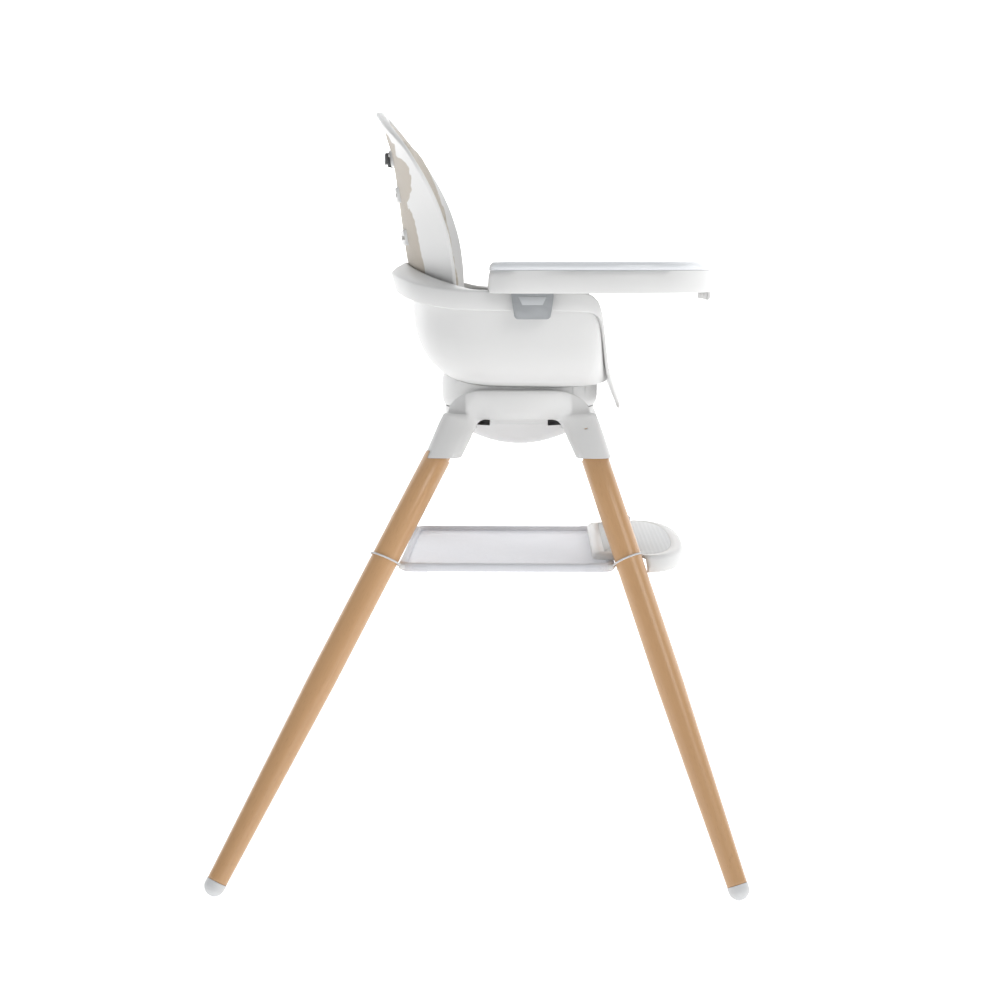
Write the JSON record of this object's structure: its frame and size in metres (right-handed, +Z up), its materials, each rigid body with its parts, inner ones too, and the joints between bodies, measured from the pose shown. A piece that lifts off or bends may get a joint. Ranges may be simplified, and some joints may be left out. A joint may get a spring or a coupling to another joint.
{
  "type": "high chair",
  "caption": "Swivelling high chair: bucket seat with curved back, harness and removable tray, on a turntable over splayed wooden legs with footrest and mesh shelf.",
  "frame": {"origin": "on the floor, in the middle of the footprint of the four feet", "axes": "+X towards the chair's front, +Y to the left of a child in the seat, +Z up"},
  "size_m": [0.691, 0.645, 0.9995],
  "materials": {
    "white_plastic": "fine satin moulded plastic",
    "tray_gloss": "glossy wipe-clean plastic",
    "grey_plastic": "satin moulded plastic",
    "latch_plastic": "satin moulded plastic",
    "dark_plastic": "fine texture",
    "beech": "clear satin lacquer",
    "white_foot": "smooth nylon",
    "white_rubber": "smooth elastic",
    "grip_rubber": "soft matt",
    "steel": "zinc plated",
    "mesh_fabric": "fine white mesh",
    "hem_fabric": "folded woven tape",
    "pad_fabric": "beige coated fabric",
    "webbing": "woven polyester webbing"
  },
  "bodies": {
    "stand": {"leg_hub": "white_plastic", "hub_cover": "white_plastic", "hub_screws": "steel", "glide_ring": "grey_plastic", "rear_leg_right": "beech", "rear_leg_left": "beech", "front_leg_right": "beech", "front_leg_left": "beech", "rear_foot_right": "white_foot", "rear_foot_left": "white_foot", "front_foot_right": "white_foot", "front_foot_left": "white_foot", "leg_bolts": "steel", "footrest": "white_plastic", "footrest_grip": "grip_rubber", "footrest_brackets": "white_plastic", "footrest_screws": "steel", "shelf_mesh": "mesh_fabric", "shelf_hem": "hem_fabric", "shelf_wire": "steel", "shelf_loops": "white_rubber"},
    "seat": {"turntable": "white_plastic", "spindle_bolt": "steel", "spindle_washer": "steel", "spindle_nut": "steel", "turntable_screws": "steel", "seat_bucket": "white_plastic", "seat_rim": "white_plastic", "back_shell": "white_plastic", "strap_anchors": "dark_plastic", "base_pad": "pad_fabric", "back_pad": "pad_fabric", "shoulder_straps": "webbing", "waist_straps": "webbing", "crotch_strap": "webbing", "buckle": "dark_plastic", "buckle_tongues": "dark_plastic", "lever_pin": "steel", "lock_pin_bush": "grey_plastic"},
    "button": {"buckle_button": "grey_plastic"},
    "lever": {"swivel_lever": "dark_plastic"},
    "lock": {"lock_pin": "steel"},
    "tray": {"tray": "white_plastic", "latch_pins": "steel"},
    "insert": {"tray_insert": "tray_gloss"},
    "latch_right": {"tray_latch_right": "latch_plastic"},
    "latch_left": {"tray_latch_left": "latch_plastic"}
  },
  "joints": [
    {"name": "seat_swivel", "type": "hinge", "parent": "stand", "child": "seat", "pos_m": [0.051, 0, 0.602], "axis": [0, 0, 1], "continuous": true},
    {"name": "tray_slide", "type": "slide", "parent": "seat", "child": "tray", "axis": [1, 0, 0], "range_m": [0, 0.12]},
    {"name": "insert_lift", "type": "slide", "parent": "tray", "child": "insert", "axis": [0, 0, 1], "range_m": [0, 0.06]},
    {"name": "latch_right_turn", "type": "hinge", "parent": "tray", "child": "latch_right", "pos_m": [0.0695, -0.19, 0.763], "axis": [-1, 0, 0], "range_deg": [0, 20], "stiffness_Nm_per_rad": 0.3},
    {"name": "latch_left_turn", "type": "hinge", "parent": "tray", "child": "latch_left", "pos_m": [0.0695, 0.19, 0.763], "axis": [1, 0, 0], "range_deg": [0, 20], "stiffness_Nm_per_rad": 0.3},
    {"name": "buckle_press", "type": "slide", "parent": "seat", "child": "button", "axis": [-1, 0, 0], "range_m": [0, 0.002], "stiffness_N_per_m": 400},
    {"name": "lock_lever_turn", "type": "hinge", "parent": "seat", "child": "lever", "pos_m": [-0.111, 0, 0.764], "axis": [0, 1, 0], "range_deg": [-12, 0]},
    {"name": "lock_pin_slide", "type": "slide", "parent": "seat", "child": "lock", "axis": [0, 0, 1], "range_m": [-0.0059, 0]}
  ],
  "couplings": [
    {"joint": "lock_lever_turn", "follows": "lock_pin_slide", "rad_per_m": 35}
  ]
}
